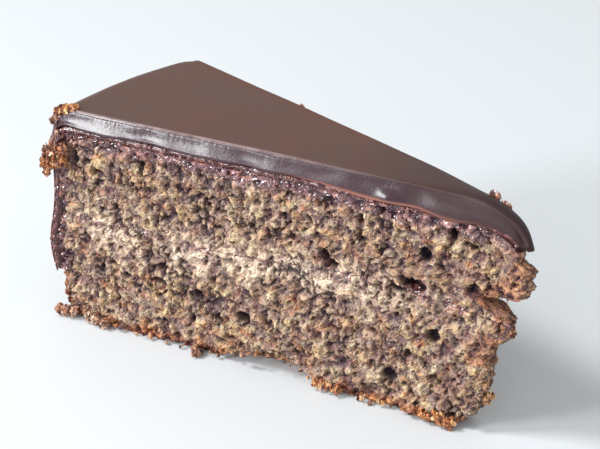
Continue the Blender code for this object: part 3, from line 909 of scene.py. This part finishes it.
# Glaze: outline over tip, top and rim, and the section of the cut edge
glazeLook = {
    "tipSteps": 26,
    "topSteps": 230,
    "cornerSteps": 12,
    "wallSteps": 70,
    "edgeColumns": (0.0, 0.00014, 0.0003, 0.0005, 0.0008, 0.0012, 0.0019, 0.0029, 0.0042),
    "middleColumns": 22,
    "faceRows": (0.0, 0.05, 0.12, 0.20, 0.29, 0.38, 0.47, 0.56, 0.65, 0.74, 0.82, 0.88, 0.915, 0.945, 0.972,
                 1.0),
    "edgeRound": 0.0008,
    "tipRound": 0.0038,
    "tipRoundTo": (0.006, 0.034),
    "fullWidthFrom": 0.0050,
    "noseHang": 0.0018,
    "hangAtFront": 0.15,
    "hangSteps": 9.0,
    "wrapSteps": 10.0,
    "lip": 0.0005,
    "frontSetBack": 0.0012,
    "backSetBack": -0.0004,
    "noseSetBack": 0.45,
    "noseSetBackTo": 0.030,
    "wallSetBack": 0.0004,
    "wallThinner": 0.0004,
    "lipWave": 0.0004,
    "lipWaveLength": 0.0065,
    "lipTuck": 0.0005,
    "faceSwell": 0.00016,
    "faceSwellSize": 0.0045,
    "ridge": 0.00030,
    "ridgeFrom": (0.025, 0.070),
    "rimFrom": (0.105, 0.125),
    "topWaves": 0.0006,
    "topWaveSize": 0.011,
    "topRipple": 0.00010,
    "topRippleSize": 0.016,
    "backCornerWorn": 0.0022,
    "droop": 0.0020,
    "droopAt": 0.0195,
    "droopSpread": 0.0085,
    "droopOut": 0.0008,
    "sag": 0.0007,
    "sagAt": 0.040,
    "sagSpread": 0.012,
    "curl": 0.0006,
    "curlAt": 0.0345,
    "curlWidth": 0.0022,
    "evenFrom": 0.036,
    "evenRounds": 14,
    "ringAt": (0.0326, 0.0042, 0.0593),
    "ringRadius": 0.0006,
    "ringWidth": 0.00035,
    "ringHeight": 1.6,
    "colour": shade(76, 52, 42),
    "colourWarm": shade(84, 53, 44),
    # painted shade: the glaze is coloured darker towards the tip
    "tipShade": shade(42, 24, 29),
    "tipShadeFrom": (0.010, 0.052),
    "faceColour": shade(52, 34, 38),
    "faceGrey": shade(66, 46, 51),
    "lipColour": shade(142, 90, 78),
    "lipRise": (0.08, 0.17),
    "lipUpTo": (0.050, 0.062),
    "rimColour": shade(112, 62, 58),
    # painted highlight: a lighter line along the crease of the cut
    "creaseHighlight": shade(180, 156, 156),
    "cloudScale": 60.0,
    "fineScale": 1400.0,
    "streakScale": 900.0,
    "creaseScale": 240.0,
    "rough": (0.38, 0.46),
    "faceSmoother": 0.16,
    "specular": 0.30,
    "bump": (0.35, 0.00012),
}
skinSteps = glazeLook["tipSteps"] + glazeLook["topSteps"] + glazeLook["cornerSteps"] + glazeLook["wallSteps"]


def skinOutline(step, top, fall, corner, offset, hem):
    # radius and height along a skin: over the tip, along the top, round the rim, down its wall
    look = glazeLook
    wallTop = top - corner
    wall = wallRadius(np.minimum(wallTop, crumbHeight - cake["corner"])) + offset
    tipAngle = lerp(cake["noseAngle"], math.pi / 2, np.clip(step / look["tipSteps"], 0, 1))
    radius = cake["fall"] - ellipseAxis(offset) * np.cos(tipAngle)
    height = top - fall * (1 - np.sin(tipAngle))
    onTop = step - look["tipSteps"]
    flat = onTop > 0
    radius = np.where(flat, lerp(cake["fall"], wall - corner, onTop / look["topSteps"]), radius)
    height = np.where(flat, top, height)
    onCorner = onTop - look["topSteps"]
    angle = math.pi / 2 * (1 - np.clip(onCorner / look["cornerSteps"], 0, 1))
    turning = onCorner > 0
    radius = np.where(turning, wall - corner + corner * np.cos(angle), radius)
    height = np.where(turning, wallTop + corner * np.sin(angle), height)
    onWall = onCorner - look["cornerSteps"]
    down = onWall > 0
    wallHeight = lerp(wallTop, hem, onWall / look["wallSteps"])
    wallHere = wallRadius(np.minimum(wallHeight, crumbHeight - cake["corner"])) + offset
    radius = np.where(down, wallHere, radius)
    height = np.where(down, wallHeight, height)
    return radius, height


def glazePiece():
    look = glazeLook
    edges = np.array(look["edgeColumns"])
    rises = np.array(look["faceRows"])
    columns = 2 * (len(edges) - 1) + look["middleColumns"]
    places, quads = boxShell(skinSteps, columns, len(rises) - 1)
    step = places[:, 0].astype(float)
    column = places[:, 1]
    rise = rises[places[:, 2]]
    fromEdge = np.minimum(column, columns - column)
    front = column <= columns // 2
    # inner and outer line, the nose hanging down most at the back corner
    inner = 2 * cake["gap"] + cake["coat"]
    roughSide = np.where(front, -1.0, 1.0) * (1 - np.clip(fromEdge / (columns / 2), 0, 1))
    edgeShare = ease(-0.6, -1.0, roughSide)
    hem = hemHeight(roughSide)
    innerLine = skinOutline(step, crumbHeight + inner, cake["innerFall"], cake["corner"] + inner, inner, hem)
    corner = lerp(cake["glazeCorner"], cake["wornCorner"], edgeShare)
    outerLine = skinOutline(step, cake["height"], cake["outerFall"], corner, inner + cake["glazeSide"], hem)
    hang = look["noseHang"] * (1 - ease(0.0, look["hangSteps"], step))
    hang *= lerp(1.0, look["hangAtFront"], ease(0.0, 1.0, -roughSide))
    innerLine = (innerLine[0], innerLine[1] - hang)
    outerLine = (outerLine[0], outerLine[1] - hang)
    radius = lerp(innerLine[0], outerLine[0], rise)
    height = lerp(innerLine[1], outerLine[1], rise)
    # sides of the slice as shares of its width: close columns by each cut, wide ones between
    half = halfWidth(radius)
    shrink = np.minimum(1.0, half / look["fullWidthFrom"])
    near = edges[np.minimum(fromEdge, len(edges) - 1)] * shrink
    last = edges[-1] * shrink
    middle = np.clip((column - (len(edges) - 1)) / look["middleColumns"], 0, 1)
    across = np.where(front, near, 2 * half - near)
    across = np.where(fromEdge >= len(edges) - 1, lerp(last, 2 * half - last, middle), across)
    side = across / half - 1
    onWall = ease(crumbHeight, crumbHeight - cake["corner"], height)
    # the cut face leans back from a wavy, dragged lip
    alongCut = rows(radius, np.where(side < 0, 0.02, 0.09), 0.0)
    wave = look["lipWave"] * cloud(alongCut, look["lipWaveLength"], 101)
    full = lerp(look["noseSetBack"], 1.0, ease(0.0, look["noseSetBackTo"], radius))
    setBack = np.where(side < 0, look["frontSetBack"] * full, look["backSetBack"])
    bent = 1.45 * rise - 0.45 * rise ** 2
    proud = lerp((look["lip"] + wave) * full, -setBack, bent) - look["lipTuck"] * ease(0.10, 0.0, rise)
    swell = cloud(rows(radius, height, 0.3 * np.sign(side)), look["faceSwellSize"], 102)
    proud += look["faceSwell"] * swell * np.sin(math.pi * np.clip(rise, 0, 1))
    drooping = bell(radius, look["droopAt"], look["droopSpread"])
    proud += look["droopOut"] * drooping * ease(0.8, 0.1, rise) * (side < 0)
    curled = look["curl"] * bell(radius, look["curlAt"], look["curlWidth"])
    proud += curled * bell(rise, 0.22, 0.20) * (side < 0)
    proud = lerp(proud, -look["wallSetBack"], onWall)
    # rounded upper edge: the corner column and row share one arc
    arc = lerp(look["tipRound"], look["edgeRound"], ease(*look["tipRoundTo"], radius))
    arc = np.minimum(arc, last)
    atEdge = fromEdge == 0
    thickness = np.hypot(outerLine[0] - innerLine[0], outerLine[1] - innerLine[1])
    below = (1 - rise) * thickness
    inward = np.where(front, across, 2 * half - across)
    faceTurn = math.pi / 4 * (1 - np.clip(below / arc, 0, 1))
    topTurn = math.pi / 4 * (1 + np.clip(inward / arc, 0, 1))
    turn = np.where(atEdge, faceTurn, topTurn)
    rounded = (rise > 0.5) & (np.where(atEdge, below < arc, (inward < arc) & (rise == 1.0)))
    inset = arc * (1 - np.cos(turn))
    drop = arc * (1 - np.sin(turn)) / np.maximum(thickness, 1e-5)
    proud = np.where(rounded & atEdge, proud - inset, proud)
    topShift = lerp(-setBack, -look["wallSetBack"], onWall)
    across = np.where(rounded & ~atEdge, np.where(front, inset, 2 * half - inset), across)
    side = np.clip(across / half - 1, -1, 1)
    fall = np.where(rounded & atEdge, np.maximum(drop, 1 - rise), drop)
    liftShare = np.where(rounded, 1 - fall, rise)
    ridge = look["ridge"] * bell(inward, 0.0006, 0.0005) * (rise == 1.0) * (1 - onWall)
    ridge *= ease(*look["ridgeFrom"], radius)
    lipDroop = look["sag"] * bell(radius, look["sagAt"], look["sagSpread"]) + look["droop"] * drooping
    lipDroop += look["sag"] * ease(0.004, 0.030, radius) * wave / look["lipWave"]
    droop = lipDroop * ease(0.45, 0.0, rise) * (side < -0.98) * (1 - onWall)
    radius = lerp(innerLine[0], outerLine[0], liftShare)
    height = lerp(innerLine[1], outerLine[1], liftShare) + ridge - droop
    radius += look["wallThinner"] * (1 - rise) * onWall
    # waves round the rim, a worn corner at the back, and faint ripples on the top
    rim = ease(*look["rimFrom"], radius)
    waves = cloud(rows(side * 0.025, 0.0, 0.0), look["topWaveSize"], 104)
    cornerWorn = look["backCornerWorn"] * ease(0.80, 1.0, side) ** 2 * ease(0.050, 0.058, height)
    radius += rim * (look["topWaves"] * np.minimum(waves, 0.0) * rise - cornerWorn)
    rippled = cloud(rows(radius, side * half, 0.0), look["topRippleSize"], 103)
    height += look["topRipple"] * rippled * (rise == 1.0) * (1 - onWall)
    # the lower lip runs on round the nose
    wrapped = 1 - ease(0.0, look["wrapSteps"], step)
    wrapped = wrapped * (1 - ease(0.0, 0.0016, inward)) * (1 - liftShare)
    radius = lerp(radius, outerLine[0] + 0.0003, 0.4 * wrapped)
    bow = np.sqrt(np.clip(1 - side * side, 0, 1))
    radius -= cake["tipRounding"] * bow * (1 - ease(0.0, cake["fall"] / 2, radius))
    x, y = planPoint(radius, side, np.where(atEdge, proud, topShift))
    nearTip = ease(look["evenFrom"], look["evenFrom"] * 0.6, radius) * ease(0.20, 0.45, rise)
    points = evenOut(rows(x, y, height), quads, nearTip, look["evenRounds"])
    made = makeMesh("chocolateGlaze", points, quads)
    cut = ease(0.0012, 0.0002, inward) * (rise < 1.0)
    # mask for the painted highlight along the crease of the front cut
    crease = ease(0.92, 0.97, rise) * ease(0.0006, 0.0002, inward) * (side < 0) * (1 - onWall)
    crease *= ease(0.030, 0.080, radius)
    storeValues(made, {
        "cut": np.where(atEdge, 1.0, cut) * ease(0.004, 0.036, radius), "rise": liftShare,
        "along": radius, "crease": crease, "rim": onWall * ease(0.0012, 0.0002, inward),
    })
    made.data.shade_smooth()
    return made


def glazeMaterial():
    look = glazeLook
    made, tree, shader = newMaterial("chocolateGlaze")
    cut = attributeNode(tree, "cut")
    rise = attributeNode(tree, "rise")
    along = attributeNode(tree, "along")
    cloudy = noiseNode(tree, look["cloudScale"], 3.0)
    fine = noiseNode(tree, look["fineScale"], 3.0)
    streaks = noiseNode(tree, look["streakScale"], 3.0, stretch=(1.0, 1.0, 0.12))
    top = mixColours(tree, mapValue(tree, cloudy, 0.35, 0.65, 0.0, 1.0), look["colour"], look["colourWarm"])
    face = mixColours(tree, mapValue(tree, fine, 0.3, 0.7, 0.0, 1.0), look["faceColour"], look["faceGrey"])
    rimShare = mapValue(tree, attributeNode(tree, "rim"), 0.0, 1.0, 0.0, 0.8)
    skin = mixColours(tree, rimShare, mixColours(tree, cut, top, face), look["rimColour"])
    # painted shade: the glaze turns darker towards the tip
    skin = mixColours(tree, mapValue(tree, along, *look["tipShadeFrom"], 0.85, 0.0), skin, look["tipShade"])
    lipShare = calculate(tree, "MULTIPLY", mapValue(tree, rise, *look["lipRise"], 1.0, 0.0), cut)
    lipShare = calculate(tree, "MULTIPLY", lipShare, mapValue(tree, along, *look["lipUpTo"], 1.0, 0.0))
    skin = mixColours(tree, lipShare, skin, look["lipColour"])
    # painted highlight: a lighter line in patches along the crease between top and cut face
    patches = mapValue(tree, noiseNode(tree, look["creaseScale"], 3.0), 0.35, 0.65, 0.05, 0.32)
    edgeShare = calculate(tree, "MULTIPLY", attributeNode(tree, "crease"), patches)
    smoother = mapValue(tree, cut, 0, 1, 0.0, -look["faceSmoother"])
    fill(tree, shader, {
        "Base Color": mixColours(tree, edgeShare, skin, look["creaseHighlight"]),
        "Roughness": calculate(tree, "ADD", mapValue(tree, cloudy, 0.3, 0.7, *look["rough"]), smoother),
        "Specular IOR Level": look["specular"],
    })
    # the knife's streaks on the cut face, strongest high up and towards the rim
    streaked = calculate(tree, "MULTIPLY", cut, mapValue(tree, rise, 0.45, 0.65, 0.12, 1.0))
    streaked = calculate(tree, "MULTIPLY", streaked, mapValue(tree, along, 0.060, 0.095, 0.15, 1.0))
    lumps = calculate(tree, "MULTIPLY", mapValue(tree, streaks, 0.3, 0.7, 0.0, 1.0), streaked)
    lumps = calculate(tree, "ADD", lumps, mapValue(tree, fine, 0.3, 0.7, 0.0, 0.25))
    # a burst bubble's ring on the top
    place = newNode(tree, "ShaderNodeTexCoord", {}).outputs["Object"]
    away = newNode(tree, "ShaderNodeVectorMath", {0: place, 1: look["ringAt"]}, operation="DISTANCE")
    offRing = calculate(tree, "SUBTRACT", away.outputs["Value"], look["ringRadius"])
    offRing = calculate(tree, "ABSOLUTE", offRing, 0.0)
    ring = mapValue(tree, offRing, 0.0, look["ringWidth"], look["ringHeight"], 0.0)
    addBump(tree, shader, calculate(tree, "ADD", lumps, ring), *look["bump"])
    return made


# Jam: the thin sheet between the layers and the coat under the glaze, both a little behind the cut
jamLook = {
    "alongSteps": 300,
    "acrossSteps": 8,
    "upSteps": 2,
    "fillingBehind": 0.0002,
    "fillingSunk": 0.0001,
    "fillingRelief": 0.6,
    "tipGap": 0.0006,
    "coatBehind": 0.0002,
    "coatMargin": 0.00005,
    "coatUneven": 0.0003,
    "hemAbove": 0.001,
    "mottleScale": 700.0,
    "stops": ((0.30, (46, 22, 27)), (0.55, (88, 47, 46)), (0.72, (140, 98, 92))),
    "rough": (0.16, 0.36),
    "bump": (0.5, 0.0003),
}


def jamFilling():
    look = jamLook
    places, quads = boxShell(look["alongSteps"], look["acrossSteps"], look["upSteps"])
    share = places[:, 0] / look["alongSteps"]
    side = 2 * places[:, 1] / look["acrossSteps"] - 1
    middle = jamHeight(cake["length"] / 2)
    radius = lerp(tipRadius(middle) + look["tipGap"], wallRadius(middle), share)
    low = lowerTop(radius) - look["fillingSunk"]
    high = upperFloor(radius) + look["fillingSunk"]
    height = lerp(low, high, places[:, 2] / look["upSteps"])
    relief, tone, pitShade = cutRelief(radius, height, np.where(side < 0, -1.0, 1.0))
    relief = np.where(places[:, 0] == look["alongSteps"], 0.0, relief)
    x, y = planPoint(radius, side, look["fillingRelief"] * relief - look["fillingBehind"])
    return makeMesh("jamFilling", rows(x, y, height), quads)


def jamCoat():
    look = jamLook
    places, quads = boxShell(skinSteps, look["acrossSteps"], 1)
    side = 2 * places[:, 1] / look["acrossSteps"] - 1
    offset = lerp(look["coatMargin"], 2 * cake["gap"] + cake["coat"] - look["coatMargin"], places[:, 2])
    hem = hemHeight(side) + look["hemAbove"]
    step = places[:, 0].astype(float)
    corner = cake["corner"] + offset
    radius, height = skinOutline(step, crumbHeight + offset, cake["innerFall"], corner, offset, hem)
    uneven = look["coatUneven"] * cloud(rows(radius, height, 0.3 * np.sign(side)), 0.0020, 111)
    x, y = planPoint(radius + 0.0005 * (radius < 0.004), side, uneven - look["coatBehind"])
    return makeMesh("jamCoat", rows(x, y, height), quads)


def jamMaterial():
    look = jamLook
    made, tree, shader = newMaterial("apricotJam")
    mottled = noiseNode(tree, look["mottleScale"], 3.0)
    rough = mapValue(tree, mottled, 0.3, 0.7, *look["rough"])
    fill(tree, shader, {"Base Color": rampNode(tree, mottled, look["stops"]), "Roughness": rough})
    addBump(tree, shader, mottled, *look["bump"])
    return made


# A plain pale floor, a wide soft light from the back left, and a fill that the cut edge mirrors
studioLook = {
    "floor": shade(202, 204, 206),
    "floorRough": 0.6,
    "air": (0.97, 0.99, 1.0, 1.0),
    "airStrength": 0.65,
    "lightColour": (0.94, 0.98, 1.0),
    # place, aim, size and watts
    "lights": {
        "window": ((-1.10, -0.90, 1.70), (0, 0, 0.03), (0.5, 0.5), 39.0),
        "frontFill": ((-0.45, -0.78, 0.29), (-0.03, 0, 0.05), (0.24, 0.28), 9.5),
        "sideFill": ((0.50, -1.10, 0.80), (0, 0, 0.03), (0.9, 0.9), 3.8),
    },
    "cameraPlace": (0.1935, -0.2360, 0.18863),
    "cameraAim": (-0.5651, 0.6941, -0.4459),
    "lens": 84.0,
}


def studio():
    look = studioLook
    floorMesh = bpy.data.meshes.new("floor")
    floorMesh.from_pydata([(-3, -3, 0), (3, -3, 0), (3, 3, 0), (-3, 3, 0)], [], [(0, 1, 2, 3)])
    floor = bpy.data.objects.new("floor", floorMesh)
    bpy.context.scene.collection.objects.link(floor)
    pale, tree, shader = newMaterial("paleFloor")
    fill(tree, shader, {"Base Color": look["floor"], "Roughness": look["floorRough"]})
    floorMesh.materials.append(pale)
    world = bpy.data.worlds.new("studio")
    world.use_nodes = True
    sky = world.node_tree
    fill(sky, sky.nodes["Background"], {"Color": look["air"], "Strength": look["airStrength"]})
    bpy.context.scene.world = world
    bpy.context.scene.view_settings.view_transform = "Standard"
    for name, (place, aim, size, power) in look["lights"].items():
        light = bpy.data.lights.new(name, "AREA")
        light.shape = "RECTANGLE"
        light.size, light.size_y = size
        light.color = look["lightColour"]
        light.energy = power
        lamp = bpy.data.objects.new(name, light)
        lamp.location = place
        lamp.rotation_euler = (Vector(aim) - Vector(place)).to_track_quat("-Z", "Y").to_euler()
        bpy.context.scene.collection.objects.link(lamp)


def photoCamera():
    data = bpy.data.cameras.new("camera")
    data.sensor_width = 36.0
    data.lens = studioLook["lens"]
    data.clip_start = 0.01
    camera = bpy.data.objects.new("camera", data)
    camera.location = studioLook["cameraPlace"]
    camera.rotation_euler = Vector(studioLook["cameraAim"]).to_track_quat("-Z", "Y").to_euler()
    bpy.context.scene.collection.objects.link(camera)
    bpy.context.scene.camera = camera


def radiusOf(place):
    return np.hypot(place[:, 0] - cake["tipX"], place[:, 1] - cake["axisY"])


def bareCrumb(layer):
    # where grains may cling: on the cuts and the torn tip, not in pits, under the glaze or under the hem
    place = vertexVectors(layer, "co")
    normal = vertexVectors(layer, "normal")
    radius = radiusOf(place)
    level = np.abs(normal[:, 2]) - 0.5 * (radius < 0.018) * (np.abs(place[:, 2] - jamHeight(radius)) > 0.0012)
    bare = 1 - ease(0.55, 0.85, level)
    bare *= 1 - ease(0.4, 0.95, vertexNumbers(layer, "pit"))
    bare *= ease(0.0002, 0.0012, crumbTop(radius) - place[:, 2])
    side = np.arctan2(place[:, 1] - cake["axisY"], cake["tipX"] - place[:, 0]) / halfAngle
    bare *= 1 - (normal[:, 0] < -0.6) * ease(-0.0006, 0.0002, place[:, 2] - hemHeight(side))
    return bare


def jamOnCut(sheet):
    # grains stick to the jam where it shows at a cut, but not at the nose
    onCut = ease(0.5, 0.8, np.abs(vertexVectors(sheet, "normal")[:, 1]))
    return onCut * ease(0.006, 0.022, radiusOf(vertexVectors(sheet, "co")))


def main():
    crumb = crumbMaterial()
    glaze = glazeMaterial()
    jam = jamMaterial()
    lower = spongeLayer("lowerCrumb", spongeLook["lowerUpSteps"], lambda radius: 0.0 * radius, lowerTop)
    upper = spongeLayer("upperCrumb", spongeLook["upperUpSteps"], upperFloor, crumbTop)
    for layer, node in ((lower, "lower_sponge"), (upper, "upper_sponge")):
        layer.data.materials.append(crumb)
        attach(layer, "root")
        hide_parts(node)
    print("crumb layers made")

    coating = glazePiece()
    coating.data.materials.append(glaze)
    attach(coating, "root")
    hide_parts("chocolate_glaze")
    print("glaze made")

    filling, coat = jamFilling(), jamCoat()
    for sheet, node in ((filling, "jam_filling"), (coat, "jam_coat")):
        sheet.data.materials.append(jam)
        sheet.data.shade_smooth()
        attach(sheet, "root")
        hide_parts(node)
    print("jam made")

    tree = scatterTree(False)
    lumps = lumpVariants("grain")
    flecks = lumpVariants("fleck")
    clumps = clumpPoints()
    scattered = [scatter("looseGrains", clumps, None, scatterTree(True), {"Seed": 5}, lumps, crumb)]
    bpy.data.objects.remove(clumps)
    for layer, label in ((lower, "lower"), (upper, "upper")):
        bare = bareCrumb(layer)
        for kind, shapes in (("Coarse", lumps), ("Fine", flecks)):
            name = label + kind + "Grains"
            scattered.append(scatter(name, layer, bare, tree, grainKinds[kind], shapes, crumb))
    for sheet, wet, pale in ((filling, 0.60, 0.35), (coat, 0.9, 0.0)):
        count = len(sheet.data.vertices)
        values = {"wet": np.full(count, wet), "pale": np.full(count, pale), "gloss": np.ones(count)}
        storeValues(sheet, values)
        name = sheet.name + "Grains"
        scattered.append(scatter(name, sheet, jamOnCut(sheet), tree, jamGrains, flecks, crumb))
    for grain in scattered:
        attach(grain, "root")
    for shapes in (lumps, flecks):
        for shape in list(shapes.objects):
            bpy.data.objects.remove(shape)
        bpy.data.collections.remove(shapes)
    print("grains scattered")

    studio()
    photoCamera()
    print("studio and camera set")


main()
